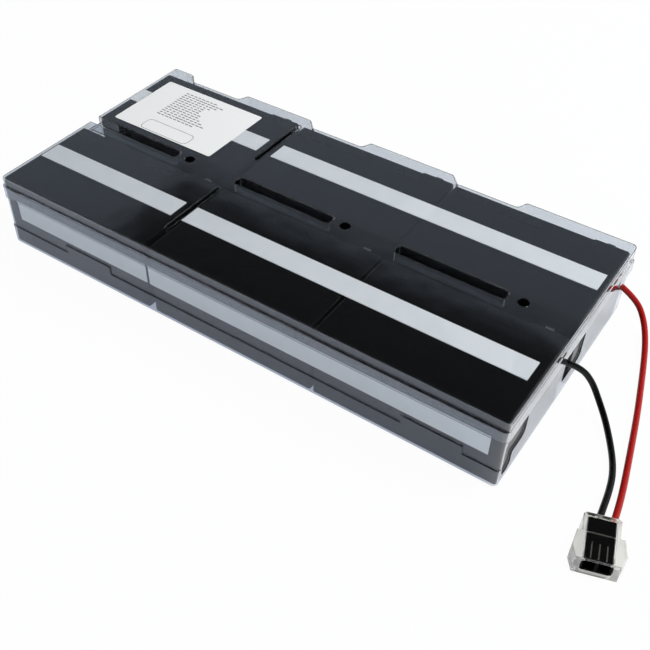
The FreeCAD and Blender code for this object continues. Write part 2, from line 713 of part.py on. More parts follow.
def window_ribs(extra):
    """Ribs under the housing's top that stand in slots of the core, grown by a fit."""
    underside = (CONNECTOR_HEIGHT + CORE_HEIGHT) / 2
    half = WINDOW_RIB_WIDTH / 2 + extra
    z0 = underside - WINDOW_RIB_DEPTH - extra
    z1 = underside + CORE_FIT
    front = core_span()[1] - WINDOW_RIB_WIDTH
    spacing = CORE_WIDTH / (WINDOW_RIBS + 1)
    ribs = []
    for index in range(WINDOW_RIBS):
        y = (index + 1) * spacing - CORE_WIDTH / 2
        ribs.append(box(front - WINDOW_RIB_LENGTH - extra, front + extra, y - half, y + half, z0, z1))
    step = CONNECTOR_REAR_LENGTH - CONNECTOR_LENGTH
    across = CORE_WIDTH / 2 - CORE_RADIUS
    ribs.append(box(step - half, step + half, -across - extra, across + extra, z0, z1))
    return ribs


def make_connector_housing():
    """Clear housing: narrow cable end, wider mating end with a waist, open mouth."""
    rear = -CONNECTOR_LENGTH
    step = rear + CONNECTOR_REAR_LENGTH
    upper_side = [
        (rear, CONNECTOR_REAR_WIDTH / 2 - CONNECTOR_REAR_CHAMFER),
        (rear + CONNECTOR_REAR_CHAMFER, CONNECTOR_REAR_WIDTH / 2), (step, CONNECTOR_REAR_WIDTH / 2),
        (step, CONNECTOR_STEP_WIDTH / 2), (-CONNECTOR_WAIST_FROM_MOUTH, CONNECTOR_WAIST_WIDTH / 2),
        (0.0, CONNECTOR_MOUTH_WIDTH / 2),
    ]
    lower_side = [(x, -y) for x, y in reversed(upper_side)]
    body = prism(upper_side + lower_side, 0.0, CONNECTOR_HEIGHT)
    body = body.makeFillet(CONNECTOR_EDGE_RADIUS, edges_at_level(body, CONNECTOR_HEIGHT))
    half_width = CORE_WIDTH / 2 + CORE_FIT
    z0 = (CONNECTOR_HEIGHT - CORE_HEIGHT) / 2 - CORE_FIT
    room = rounded_block(core_span()[0], OUTSIDE, -half_width, half_width, z0, CONNECTOR_HEIGHT - z0,
                         CORE_RADIUS + CORE_FIT, Vector(1, 0, 0))
    body = body.cut(room)
    for y in pole_sides().values():
        enter = Vector(rear, y + LEAD_ENTRY_SHIFT, CONNECTOR_HEIGHT / 2)
        body = body.cut(lead_hole(enter, Vector(1, 0, 0)))
    return body.fuse(window_ribs(0.0)).removeSplitter()


def make_connector_core():
    """Dark two-pole core with a cavity for each contact."""
    x0, x1 = core_span()
    z0 = (CONNECTOR_HEIGHT - CORE_HEIGHT) / 2
    core = rounded_block(x0, x1, -CORE_WIDTH / 2, CORE_WIDTH / 2, z0, z0 + CORE_HEIGHT,
                         CORE_RADIUS, Vector(1, 0, 0))
    middle = CONNECTOR_HEIGHT / 2
    cavities = [box(x1 - POLE_DEPTH, OUTSIDE, y - POLE_WIDTH / 2, y + POLE_WIDTH / 2,
                    middle - POLE_HEIGHT / 2, middle + POLE_HEIGHT / 2) for y in pole_sides().values()]
    return cut_all(core, cavities + window_ribs(CORE_FIT))


def make_contact(pole):
    """Folded contact seated at the back of its cavity."""
    y = pole_sides()[pole]
    x0 = core_span()[1] - POLE_DEPTH
    middle = CONNECTOR_HEIGHT / 2
    half_width = CONTACT_WIDTH / 2
    half_height = CONTACT_HEIGHT / 2
    outer = box(x0, x0 + CONTACT_LENGTH, y - half_width, y + half_width,
                middle - half_height, middle + half_height)
    inner = box(x0 + CONTACT_WALL, x0 + OUTSIDE, y - half_width + CONTACT_WALL, y + half_width - CONTACT_WALL,
                middle - half_height + CONTACT_WALL, middle + half_height - CONTACT_WALL)
    return outer.cut(inner)


def make_lead(pole, route):
    """Free lead from the end wall to the back of the connector core, laid along its route."""
    place = connector_placement()
    y = pole_sides()[pole] + LEAD_ENTRY_SHIFT
    x0 = core_span()[0]
    enter = place.multVec(Vector(x0, y, CONNECTOR_HEIGHT / 2))
    before = place.multVec(Vector(x0 - LEAD_END_RUN, y, CONNECTOR_HEIGHT / 2))
    leave = lead_exits()[pole]
    points = [leave, leave + lead_heading(pole) * LEAD_START_RUN]
    points += [Vector(*point) for point in route]
    return wire_along(points + [before, enter], name=pole + "_lead")


def on_terminals(shape, pole):
    """Copies of a piece on one pole of every block, its wire end pointing to the other pole."""
    copies = []
    for row in range(ROWS):
        for column in range(COLUMNS):
            copy = shape.copy()
            if WIRE_DIRECTIONS[pole] < 0:
                copy.rotate(Vector(0, 0, 0), Vector(0, 1, 0), 180)
            copy.translate(Vector(terminal_x(column), ROW_LIDS[row], TERMINAL_LEVELS[pole]))
            copies.append(copy)
    return copies


def moved(shape, x, y, z):
    """Copy of a shape at another place."""
    copy = shape.copy()
    copy.translate(Vector(x, y, z))
    return copy


def build():
    """Every piece of the pack by its name."""
    pieces = {"tray": make_tray(), "cover": make_cover(), "label": make_label()}
    pieces.update(make_tapes())
    block_pieces = {"case": make_case(), "lid": make_lid(), "vent_cover": make_vent_cover()}
    blade = make_blade()
    for row, row_name in enumerate(("front", "back")):
        for column in range(COLUMNS):
            block = "%s_%d" % (row_name, column + 1)
            for name, shape in block_pieces.items():
                pieces["%s_%s" % (name, block)] = moved(
                    shape, column_end(column), ROW_FEET[row], TERMINAL_MIDDLE)
            for pole, level in TERMINAL_LEVELS.items():
                pieces["%s_blade_%s" % (pole, block)] = moved(blade, terminal_x(column), ROW_FEET[row], level)
    receptacle = make_receptacle()
    boot = make_boot()
    for pole in TERMINAL_LEVELS:
        pieces[pole + "_receptacles"] = Part.makeCompound(on_terminals(receptacle, pole))
        pieces[pole + "_boots"] = Part.makeCompound(on_terminals(boot, pole))
    for column in range(COLUMNS - 1):
        pieces["link_front_%d_%d" % (column + 2, column + 1)] = make_row_link(0, column + 1, column)
        pieces["link_back_%d_%d" % (column + 1, column + 2)] = make_row_link(1, column, column + 1)
    pieces["link_front_to_back"] = make_cross_link()
    for pole in LEAD_ROWS:
        pieces[pole + "_lead_tail"] = make_lead_tail(pole)
    pieces["positive_lead"] = make_lead("positive", POSITIVE_ROUTE)
    pieces["negative_lead"] = make_lead("negative", NEGATIVE_ROUTE)
    pieces["connector_housing"] = placed(make_connector_housing())
    pieces["connector_core"] = placed(make_connector_core())
    for pole in TERMINAL_LEVELS:
        pieces[pole + "_contact"] = placed(make_contact(pole))
    return pieces


os.makedirs("parts", exist_ok=True)
for node, solid in build().items():
    solid.exportStep("parts/%s.step" % node)
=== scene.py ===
"""Looks of a battery pack for an uninterruptible power supply.

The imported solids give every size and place. This file adds the finishes, the two free leads, the print
on the label, the stage and the camera. It is laid out as an add-on with one operator for each group of pieces.
Lengths are metres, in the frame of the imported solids.
"""
import math

import bpy
from bpy.props import FloatProperty, FloatVectorProperty, IntProperty, PointerProperty
from mathutils import Matrix, Vector


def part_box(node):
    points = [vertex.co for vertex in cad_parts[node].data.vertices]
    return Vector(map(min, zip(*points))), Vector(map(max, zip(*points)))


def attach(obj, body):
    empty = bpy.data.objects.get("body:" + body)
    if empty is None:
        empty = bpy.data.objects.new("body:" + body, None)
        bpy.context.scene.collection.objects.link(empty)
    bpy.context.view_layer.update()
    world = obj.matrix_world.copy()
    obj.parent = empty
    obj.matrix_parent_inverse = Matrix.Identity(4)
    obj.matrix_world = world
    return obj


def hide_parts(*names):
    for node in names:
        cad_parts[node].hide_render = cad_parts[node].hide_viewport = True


bl_info = {
    "name": "Clear-cased battery pack",
    "version": (1, 0, 0),
    "blender": (4, 5, 0),
    "location": "View3D > Sidebar > Battery",
    "description": "Finishes a packed model of a battery pack: clear shell, sealed blocks, tape, label and leads",
    "category": "Object",
}

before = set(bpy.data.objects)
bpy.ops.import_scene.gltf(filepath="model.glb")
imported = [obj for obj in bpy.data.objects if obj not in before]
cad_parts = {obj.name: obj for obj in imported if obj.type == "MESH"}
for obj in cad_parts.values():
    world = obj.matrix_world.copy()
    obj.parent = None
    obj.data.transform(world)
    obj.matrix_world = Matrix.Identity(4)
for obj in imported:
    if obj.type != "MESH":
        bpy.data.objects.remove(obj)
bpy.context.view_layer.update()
MM = 0.001
BODY = "root"

# Routes of the free leads, in millimetres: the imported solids' routes,
# moved by a few millimetres to hang as photographed
POSITIVE_ROUTE = (
    (231.8, 103.85, 28.0), (245.6, 103.6, 21.5), (256.9, 95.4, 12.0), (265.8, 79.0, 5.6), (273.2, 56.9, 2.8),
    (280.0, 33.0, 2.6), (286.8, 8.2, 2.7), (293.0, -17.2, 2.9), (298.9, -42.3, 3.2), (304.2, -66.0, 4.6),
    (307.8, -86.5, 6.8), (309.7, -101.3, 8.25),
)
NEGATIVE_ROUTE = (
    (231.8, -2.55, 31.5), (240.6, 1.2, 28.4), (250.2, 1.6, 20.6), (259.8, -4.4, 12.2), (270.4, -14.6, 6.3),
    (280.1, -28.2, 3.1), (288.2, -42.8, 2.6), (293.7, -57.5, 3.7), (296.8, -73.0, 5.1), (298.8, -88.6, 6.7),
    (300.7, -104.1, 8.25),
)

# Middle of the connector's mouth, and the turn that brings its length onto the X axis
CONNECTOR_MOUTH = (0.313, -0.1354, 0.0)
CONNECTOR_TURN = math.radians(-72.5)
# Slots of the core, back from the mouth: middle and half length of the lengthwise ones, place of the one across
SLOTS_MIDDLE = -8.4 * MM
SLOTS_HALF_LENGTH = 6.0 * MM
SLOT_ACROSS = -21.5 * MM

# Refraction of each plastic and of the paper's coating; the formed sheet's is matched to its strong gloss
PET_IOR = 1.62
ABS_IOR = 1.52
NYLON_IOR = 1.53
POLYCARBONATE_IOR = 1.58
PVC_IOR = 1.53
COATING_IOR = 1.45
# How much of the plain gloss is left on satin black plastic and on the dull core
SATIN_GLOSS = 0.3
CORE_GLOSS = 0.04

# Roughness of each finish; a pair is the least and the most of an uneven one
CASE_ROUGHNESS = 0.2
LID_ROUGHNESS = 0.26
VENT_COVER_ROUGHNESS = 0.45
ABS_UNEVEN = (-0.03, 0.05)
TIN_ROUGHNESS = (0.22, 0.42)
PVC_ROUGHNESS = (0.28, 0.44)
BOOT_ROUGHNESS = 0.25
HOUSING_ROUGHNESS = 0.03
CORE_ROUGHNESS = 0.6
TAPE_ROUGHNESS = 0.75
PAPER_ROUGHNESS = 0.5
INK_ROUGHNESS = 0.6

# Real sizes of the surface patterns: width across, and depth where the pattern is felt
CASE_GRAIN = 1.6 * MM
LID_GRAIN = 1.2 * MM
GRAIN_DEPTH = 0.02 * MM
GRAINS_IN_CLOUD = 24
ROLLING_MARK = 0.8 * MM
FLOW_WAVE = 7 * MM
FLOW_DEPTH = 0.05 * MM
DRAG_WAVE = 6 * MM
DRAG_DEPTH = 0.08 * MM
FOAM_CELL = 1.6 * MM
FOAM_CELL_DEPTH = 0.1 * MM
FOAM_CLOUD = 14 * MM
PAPER_FIBRE = 2.2 * MM
INK_PATCH = 3 * MM
# How strongly grain, drag and cells show, and the darkest tape and paper or palest ink as a share of its colour
GRAIN_STRENGTH = 0.25
DRAG_STRENGTH = 0.5
CELL_STRENGTH = 0.4
DARKEST_TAPE = 0.9
DARKEST_PAPER = 0.965
PALEST_INK = 1.5
BOOT_CLEARNESS = 0.9

# Print on the label: its places from the label's edges, and the outlined field
ROWS_FROM_LEFT = 51 * MM
ROWS_FROM_BACK = 28 * MM
FIELD_FROM_LEFT = 53.8 * MM
FIELD_FROM_FRONT = 9.1 * MM
FIELD_LENGTH = 51.5 * MM
FIELD_WIDTH = 15 * MM
INK_HEIGHT = 0.03 * MM
INK_LIFT = 0.01 * MM
# Word lengths as shares of the word step, heights and lines of the row step, the corner of the field's width,
# and where rows end: the farthest as a share of the longest row, the nearest as a share of that
SHORTEST_WORD = 0.55
LONGEST_WORD = 0.92
BAR_HEIGHT = 0.34
FIELD_LINE = 0.14
FIELD_CORNER = 0.3
FARTHEST_END = 0.55
NEAREST_END = 0.25

# Share of plain white in the floor: seen directly, through the shell, mirrored in front and mirrored beside the end;
# the two mirrored shares are a painted reflection, dimmer in front than beside the end
FLOOR_SEEN = 0.97
FLOOR_THROUGH = 0.3
PAINTED_REFLECTION_AHEAD = 0.6
PAINTED_REFLECTION_BESIDE = 0.8
# Where the floor's painted reflection changes from front to back, in Y, and from front to side, in X
FLOOR_TO_BACK = (-0.1, 0.1)
FLOOR_TO_SIDE = (0.21, 0.25)
FLOOR_DROP = 0.2 * MM

# Light tent: slopes to the top edge of its side walls and of its front and back, half the softness of that edge,
# and the heights between which the white low part ends
TENT_SIDES = 1.015
TENT_FRONT = 0.963
TENT_EDGE = 0.03
TENT_WHITE = (0.34, 0.46)
SOFTBOX_PLACE = (0.9, 0.7, 1.4)

# Camera of the photograph: place in metres, then azimuth, elevation and roll in degrees
CAMERA_PLACE = Vector((0.34678, -0.5036, 0.52856))
CAMERA_AZIMUTH = 33.114
CAMERA_ELEVATION = 43.908
CAMERA_ROLL = 1.416
CAMERA_LENS = 52.93
CAMERA_SENSOR = 36.0
CAMERA_NEAREST = 0.01


def linear(code):
    """Linear RGBA of an sRGB hex colour."""
    channels = [int(code[start:start + 2], 16) / 255 for start in (1, 3, 5)]
    return [value / 12.92 if value <= 0.04045 else ((value + 0.055) / 1.055) ** 2.4 for value in channels] + [1.0]


WHITE = linear("#FFFFFF")


def colour(name, description, code):
    """Colour property whose default is an sRGB hex value."""
    return FloatVectorProperty(name=name, description=description, subtype="COLOR", size=4, min=0.0, max=1.0,
                               default=linear(code))


def length(name, description, millimetres):
    """Length property whose default is in millimetres."""
    return FloatProperty(name=name, description=description, default=millimetres * MM, min=0.0, unit="LENGTH")


def share(name, description, default):
    """Property between nothing and all."""
    return FloatProperty(name=name, description=description, default=default, min=0.0, max=1.0, subtype="FACTOR")


class ShellProps(bpy.types.PropertyGroup):
    """Clear formed tray and cover."""
    tint: colour("Tint", "Colour of the clear sheet", "#F7F9FB")
    roughness: share("Roughness", "Roughness of the formed sheet", 0.02)
    wave_length: length("Wave length", "Distance between the slow waves that forming leaves", 34.0)
    wave_height: length("Wave height", "Height of those waves", 0.10)


class BlockProps(bpy.types.PropertyGroup):
    """Sealed blocks and their terminals."""
    case: colour("Case", "Black of the moulded case", "#0D0D0E")
    lid: colour("Lid", "Black of the moulded lid", "#0F0F10")
    vent_cover: colour("Vent cover", "Black of the glued vent cover", "#161618")
    plating: colour("Plating", "Tin plating of the terminals", "#CFCCC3")
    boot: colour("Boot", "Smoky tint of the clear nylon boots", "#B4B8BC")


class TrimProps(bpy.types.PropertyGroup):
    """Foam tape, label and print."""
    tape: colour("Tape", "White of the foam tape", "#F3F4F3")
    paper: colour("Label", "White of the coated label", "#FBFCFB")
    ink: colour("Ink", "Grey of the printed rows", "#5E6064")
    rows: IntProperty(name="Rows", description="Printed rows in the block of fine print", default=13, min=1)
    row_step: length("Row step", "Distance from one printed row to the next", 3.4)
    word_step: length("Word step", "Distance from one printed word to the next", 4.6)
    words: IntProperty(name="Words", description="Most words in a printed row", default=11, min=1)
    seed: IntProperty(name="Seed", description="Seed of the word lengths", default=4)


class LeadProps(bpy.types.PropertyGroup):
    """Wires inside the shell and the two free leads."""
    diameter: length("Diameter", "Outside diameter of the insulation", 4.8)
    red: colour("Red", "Red insulation", "#A4120D")
    black: colour("Black", "Black insulation", "#070708")


class ConnectorProps(bpy.types.PropertyGroup):
    """Two-pole connector."""
    tint: colour("Housing", "Tint of the clear housing", "#F6F5F1")
    core: colour("Core", "Black of the core", "#0B0B0C")
    # Painted highlight: a pale colour painted into the black core where clear ribs catch the light
    slot: colour("Slot lines", "Pale line of a rib in its slot", "#A6A9AC")
    slot_step: length("Slot step", "Distance from one lengthwise slot to the next", 5.0)
    slot_line: length("Slot line", "Width of the pale line in a slot", 0.8)
    slot_height: length("Slot height", "Height above which the slots are cut", 12.9)
    window_width: length("Window width", "Width of the polished window over the core", 20.0)
    window_height: length("Window height", "Height above which the housing is polished", 14.0)
    wall_clearness: share("Wall clearness", "How clear the frosted walls are", 0.72)


class StageProps(bpy.types.PropertyGroup):
    """Floor, light and camera."""
    floor_size: length("Floor", "Side of the floor", 12000.0)
    floor: colour("Floor white", "White of the floor paper", "#E4E8EE")
    # Painted reflection: a cool tint that the floor shows only to mirror rays, where the front walls mirror it, not a
    # colour of the paper
    painted_reflection: colour("Mirrored floor", "Cool white of the floor that the front walls mirror", "#CDD5E6")
    wall: colour("Tent wall", "Grey-blue of the tent walls that the cover mirrors", "#7C8590")
    roof: colour("Tent roof", "Dark grey above the tent walls", "#242526")
    softbox_size: length("Softbox size", "Side of the softbox", 1400.0)
    softbox_power: FloatProperty(name="Softbox", description="Power of the softbox at the back right", default=34.0,
                                 unit="POWER")


def add_node(tree, kind, links=None, **settings):
    """Add a node with its settings; links maps each input to a value or to another node's output."""
    made = tree.nodes.new(kind)
    for name, value in settings.items():
        setattr(made, name, value)
    for key, value in (links or {}).items():
        socket = made.inputs[key]
        if isinstance(value, bpy.types.NodeSocket):
            tree.links.new(value, socket)
        else:
            socket.default_value = value
    return made


def new_material(name):
    """Empty material, its tree and Object coordinates in it."""
    material = bpy.data.materials.new(name)
    material.use_nodes = True
    tree = material.node_tree
    tree.nodes.clear()
    return material, tree, add_node(tree, "ShaderNodeTexCoord").outputs["Object"]


def let_lamps_through(tree, shader, tint):
    """Clear plastic that lets lamp rays pass, so that what it covers is lit."""
    rays = add_node(tree, "ShaderNodeLightPath")
    passing = add_node(tree, "ShaderNodeMath", {0: rays.outputs["Is Shadow Ray"], 1: rays.outputs["Is Diffuse Ray"]},
                       operation="MAXIMUM")
    window = add_node(tree, "ShaderNodeBsdfTransparent", {"Color": tint})
    return add_node(tree, "ShaderNodeMixShader", {0: passing.outputs[0], 1: shader.outputs[0], 2: window.outputs[0]})


def formed_sheet(props):
    """Thermoformed clear PET: a glossy sheet whose slow waves bend what it mirrors."""
    material, tree, place = new_material("thermoformed_clear_pet")
    waves = add_node(tree, "ShaderNodeTexNoise", {"Vector": place, "Scale": 1 / props.wave_length, "Detail": 1.0})
    bump = add_node(tree, "ShaderNodeBump", {"Height": waves.outputs[0], "Distance": props.wave_height})
    sheet = add_node(tree, "ShaderNodeBsdfPrincipled", {
        "Base Color": props.tint, "Roughness": props.roughness, "IOR": PET_IOR, "Transmission Weight": 1.0,
        "Normal": bump.outputs[0]})
    clear = let_lamps_through(tree, sheet, props.tint)
    add_node(tree, "ShaderNodeOutputMaterial", {"Surface": clear.outputs[0]})
    return material


def moulded_abs(name, tone, grain, roughness):
    """Moulded black ABS: deep black with a satin sheen, its fine tool grain drawn coarse enough to show."""
    material, tree, place = new_material(name)
    specks = add_node(tree, "ShaderNodeTexNoise", {"Vector": place, "Scale": 1 / grain, "Detail": 2.0})
    clouds = add_node(tree, "ShaderNodeTexNoise", {
        "Vector": place, "Scale": 1 / (GRAINS_IN_CLOUD * grain), "Detail": 2.0})
    polish = add_node(tree, "ShaderNodeMapRange", {
        "Value": clouds.outputs[0], "To Min": roughness + ABS_UNEVEN[0], "To Max": roughness + ABS_UNEVEN[1]})
    bump = add_node(tree, "ShaderNodeBump", {
        "Height": specks.outputs[0], "Strength": GRAIN_STRENGTH, "Distance": GRAIN_DEPTH})
    plastic = add_node(tree, "ShaderNodeBsdfPrincipled", {
        "Base Color": tone, "Roughness": polish.outputs[0], "IOR": ABS_IOR, "Specular IOR Level": SATIN_GLOSS,
        "Normal": bump.outputs[0]})
    add_node(tree, "ShaderNodeOutputMaterial", {"Surface": plastic.outputs[0]})
    return material


def tin_plate(props):
    """Tin-plated brass: pale soft-shining metal with faint rolling marks."""
    material, tree, place = new_material("tin_plated_brass")
    marks = add_node(tree, "ShaderNodeTexNoise", {"Vector": place, "Scale": 1 / ROLLING_MARK, "Detail": 3.0})
    polish = add_node(tree, "ShaderNodeMapRange", {
        "Value": marks.outputs[0], "To Min": TIN_ROUGHNESS[0], "To Max": TIN_ROUGHNESS[1]})
    metal = add_node(tree, "ShaderNodeBsdfPrincipled", {
        "Base Color": props.plating, "Metallic": 1.0, "Roughness": polish.outputs[0]})
    add_node(tree, "ShaderNodeOutputMaterial", {"Surface": metal.outputs[0]})
    return material


def moulding_flow(tree, place):
    """Normal of a moulded clear wall, with the faint waves that the flowing plastic leaves."""
    flow = add_node(tree, "ShaderNodeTexNoise", {"Vector": place, "Scale": 1 / FLOW_WAVE, "Detail": 1.0})
    return add_node(tree, "ShaderNodeBump", {"Height": flow.outputs[0], "Distance": FLOW_DEPTH}).outputs[0]


def clear_nylon(props):
    """Injection-moulded clear nylon: smoky and a little milky, bright at its edges, faintly wavy."""
    material, tree, place = new_material("clear_nylon_boot")
    wall = add_node(tree, "ShaderNodeBsdfPrincipled", {
        "Base Color": props.boot, "Roughness": BOOT_ROUGHNESS, "IOR": NYLON_IOR,
        "Transmission Weight": BOOT_CLEARNESS, "Normal": moulding_flow(tree, place)})
    clear = let_lamps_through(tree, wall, props.boot)
    add_node(tree, "ShaderNodeOutputMaterial", {"Surface": clear.outputs[0]})
    return material


def along_connector(tree, place):
    """Distances from the mouth: X back along the connector as a negative, Y across it, Z up."""
    local = add_node(tree, "ShaderNodeMapping", {
        "Vector": place, "Location": CONNECTOR_MOUTH, "Rotation": (0.0, 0.0, CONNECTOR_TURN)}, vector_type="TEXTURE")
    return add_node(tree, "ShaderNodeSeparateXYZ", {0: local.outputs[0]}).outputs


def clear_housing(props):
    """Injection-moulded polycarbonate: walls a little frosted by the tool, a polished window over the core."""
    material, tree, place = new_material("clear_polycarbonate_housing")
    spot = along_connector(tree, place)
    level = add_node(tree, "ShaderNodeMath", {0: spot["Y"], 1: 0.0, 2: props.window_width / 2}, operation="COMPARE")
    above = add_node(tree, "ShaderNodeMath", {0: spot["Z"], 1: props.window_height}, operation="GREATER_THAN")
    window = add_node(tree, "ShaderNodeMath", {0: level.outputs[0], 1: above.outputs[0]}, operation="MULTIPLY")
    clearness = add_node(tree, "ShaderNodeMapRange", {
        "Value": window.outputs[0], "To Min": props.wall_clearness, "To Max": 1.0})
    wall = add_node(tree, "ShaderNodeBsdfPrincipled", {
        "Base Color": props.tint, "Roughness": HOUSING_ROUGHNESS, "IOR": POLYCARBONATE_IOR,
        "Transmission Weight": clearness.outputs[0], "Normal": moulding_flow(tree, place)})
    clear = let_lamps_through(tree, wall, props.tint)
    add_node(tree, "ShaderNodeOutputMaterial", {"Surface": clear.outputs[0]})
    return material


def slotted_nylon(props):
    """Moulded black nylon: dull black, with a painted highlight: pale lines painted into its colour where clear ribs
    sit in its slots and catch the light.
    """
    material, tree, place = new_material("moulded_black_nylon_core")
    spot = along_connector(tree, place)
    # The pale lines are a painted highlight in the core's colour, standing in for the light that the clear ribs catch
    side = add_node(tree, "ShaderNodeMath", {0: spot["Y"], 1: props.slot_step / 2}, operation="PINGPONG")
    near = add_node(tree, "ShaderNodeMath", {0: side.outputs[0], 1: props.slot_line / 2}, operation="LESS_THAN")
    front = add_node(tree, "ShaderNodeMath", {0: spot["X"], 1: SLOTS_MIDDLE, 2: SLOTS_HALF_LENGTH},
                     operation="COMPARE")
    lengthwise = add_node(tree, "ShaderNodeMath", {0: near.outputs[0], 1: front.outputs[0]}, operation="MULTIPLY")
    across = add_node(tree, "ShaderNodeMath", {0: spot["X"], 1: SLOT_ACROSS, 2: props.slot_line / 2},
                      operation="COMPARE")
    lines = add_node(tree, "ShaderNodeMath", {0: lengthwise.outputs[0], 1: across.outputs[0]}, operation="MAXIMUM")
    upper = add_node(tree, "ShaderNodeMath", {0: spot["Z"], 1: props.slot_height}, operation="GREATER_THAN")
    slots = add_node(tree, "ShaderNodeMath", {0: lines.outputs[0], 1: upper.outputs[0]}, operation="MULTIPLY")
    tone = add_node(tree, "ShaderNodeMix", {"Factor": slots.outputs[0], "A": props.core, "B": props.slot},
                    data_type="RGBA")
    core = add_node(tree, "ShaderNodeBsdfPrincipled", {
        "Base Color": tone.outputs["Result"], "Roughness": CORE_ROUGHNESS, "IOR": NYLON_IOR,
        "Specular IOR Level": CORE_GLOSS})
    add_node(tree, "ShaderNodeOutputMaterial", {"Surface": core.outputs[0]})
    return material


def pvc_insulation(name, tone):
    """Extruded PVC insulation: smooth with a soft highlight, a little uneven along its length."""
    material, tree, place = new_material(name)
    drag = add_node(tree, "ShaderNodeTexNoise", {"Vector": place, "Scale": 1 / DRAG_WAVE, "Detail": 2.0})
    polish = add_node(tree, "ShaderNodeMapRange", {
        "Value": drag.outputs[0], "To Min": PVC_ROUGHNESS[0], "To Max": PVC_ROUGHNESS[1]})
    bump = add_node(tree, "ShaderNodeBump", {
        "Height": drag.outputs[0], "Strength": DRAG_STRENGTH, "Distance": DRAG_DEPTH})
    skin = add_node(tree, "ShaderNodeBsdfPrincipled", {
        "Base Color": tone, "Roughness": polish.outputs[0], "IOR": PVC_IOR, "Specular IOR Level": SATIN_GLOSS,
        "Normal": bump.outputs[0]})
    add_node(tree, "ShaderNodeOutputMaterial", {"Surface": skin.outputs[0]})
    return material


def foam_tape(props):
    """White polyethylene foam tape: matt, finely celled, its cells drawn coarse enough to show."""
    material, tree, place = new_material("white_pe_foam_tape")
    cells = add_node(tree, "ShaderNodeTexVoronoi", {"Vector": place, "Scale": 1 / FOAM_CELL})
    clouds = add_node(tree, "ShaderNodeTexNoise", {"Vector": place, "Scale": 1 / FOAM_CLOUD, "Detail": 3.0})
    grey = [value * DARKEST_TAPE for value in props.tape[:3]] + [1.0]
    tone = add_node(tree, "ShaderNodeMix", {"Factor": clouds.outputs[0], "A": grey, "B": props.tape},
                    data_type="RGBA")
    bump = add_node(tree, "ShaderNodeBump", {
        "Height": cells.outputs["Distance"], "Strength": CELL_STRENGTH, "Distance": FOAM_CELL_DEPTH})
    foam = add_node(tree, "ShaderNodeBsdfPrincipled", {
        "Base Color": tone.outputs["Result"], "Roughness": TAPE_ROUGHNESS, "Normal": bump.outputs[0]})
    add_node(tree, "ShaderNodeOutputMaterial", {"Surface": foam.outputs[0]})
    return material


def coated_paper(props):
    """Coated white label stock: smooth paper with a faint sheen and the ghost of its fibres."""
    material, tree, place = new_material("coated_label_paper")
    fibres = add_node(tree, "ShaderNodeTexNoise", {"Vector": place, "Scale": 1 / PAPER_FIBRE, "Detail": 4.0})
    shade = [value * DARKEST_PAPER for value in props.paper[:3]] + [1.0]
    tone = add_node(tree, "ShaderNodeMix", {"Factor": fibres.outputs[0], "A": shade, "B": props.paper},
                    data_type="RGBA")
    paper = add_node(tree, "ShaderNodeBsdfPrincipled", {
        "Base Color": tone.outputs["Result"], "Roughness": PAPER_ROUGHNESS, "IOR": COATING_IOR})
    add_node(tree, "ShaderNodeOutputMaterial", {"Surface": paper.outputs[0]})
    return material


def printing_ink(props):
    """Thermal-transfer ink: flat grey, a shade uneven where the ribbon pressed less."""
    material, tree, place = new_material("grey_printing_ink")
    press = add_node(tree, "ShaderNodeTexNoise", {"Vector": place, "Scale": 1 / INK_PATCH, "Detail": 2.0})
    pale = [min(1.0, value * PALEST_INK) for value in props.ink[:3]] + [1.0]
    tone = add_node(tree, "ShaderNodeMix", {"Factor": press.outputs[0], "A": props.ink, "B": pale}, data_type="RGBA")
    ink = add_node(tree, "ShaderNodeBsdfPrincipled", {
        "Base Color": tone.outputs["Result"], "Roughness": INK_ROUGHNESS})
    add_node(tree, "ShaderNodeOutputMaterial", {"Surface": ink.outputs[0]})
    return material


def finish_nodes(material, *starts):
    """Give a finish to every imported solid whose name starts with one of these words."""
    found = [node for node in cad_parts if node.startswith(starts)]
    if not found:
        raise ValueError("no packed solid is called %s" % ", ".join(starts))
    for node in found:
        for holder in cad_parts[node].material_slots:
            holder.material = material


def link_object(name, data):
    """New object at the origin, in the scene."""
    made = bpy.data.objects.new(name, data)
    bpy.context.scene.collection.objects.link(made)
    return made


class BATTERY_OT_shell(bpy.types.Operator):
    """Finish the clear tray and cover."""
    bl_idname = "battery.shell"
    bl_label = "Clear shell"

    def execute(self, context):
        finish_nodes(formed_sheet(context.scene.battery_shell), "tray", "cover")
        return {"FINISHED"}


class BATTERY_OT_blocks(bpy.types.Operator):
    """Finish the sealed blocks."""
    bl_idname = "battery.blocks"
    bl_label = "Sealed blocks"

    def execute(self, context):
        props = context.scene.battery_blocks
        finish_nodes(moulded_abs("moulded_black_abs_case", props.case, CASE_GRAIN, CASE_ROUGHNESS), "case_")
        finish_nodes(moulded_abs("moulded_black_abs_lid", props.lid, LID_GRAIN, LID_ROUGHNESS), "lid_")
        finish_nodes(moulded_abs("moulded_black_abs_vent_cover", props.vent_cover, LID_GRAIN, VENT_COVER_ROUGHNESS),
                     "vent_cover_")
        return {"FINISHED"}


class BATTERY_OT_terminals(bpy.types.Operator):
    """Finish the blades, receptacles, contacts and boots."""
    bl_idname = "battery.terminals"
    bl_label = "Terminals"

    def execute(self, context):
        props = context.scene.battery_blocks
        finish_nodes(tin_plate(props), "positive_blade", "negative_blade", "positive_receptacles",
                     "negative_receptacles", "positive_contact", "negative_contact")
        finish_nodes(clear_nylon(props), "positive_boots", "negative_boots")
        return {"FINISHED"}


class BATTERY_OT_tape(bpy.types.Operator):
    """Finish the foam tape under the cover and along the front."""
    bl_idname = "battery.tape"
    bl_label = "Foam tape"

    def execute(self, context):
        finish_nodes(foam_tape(context.scene.battery_trim), "tape_")
        return {"FINISHED"}


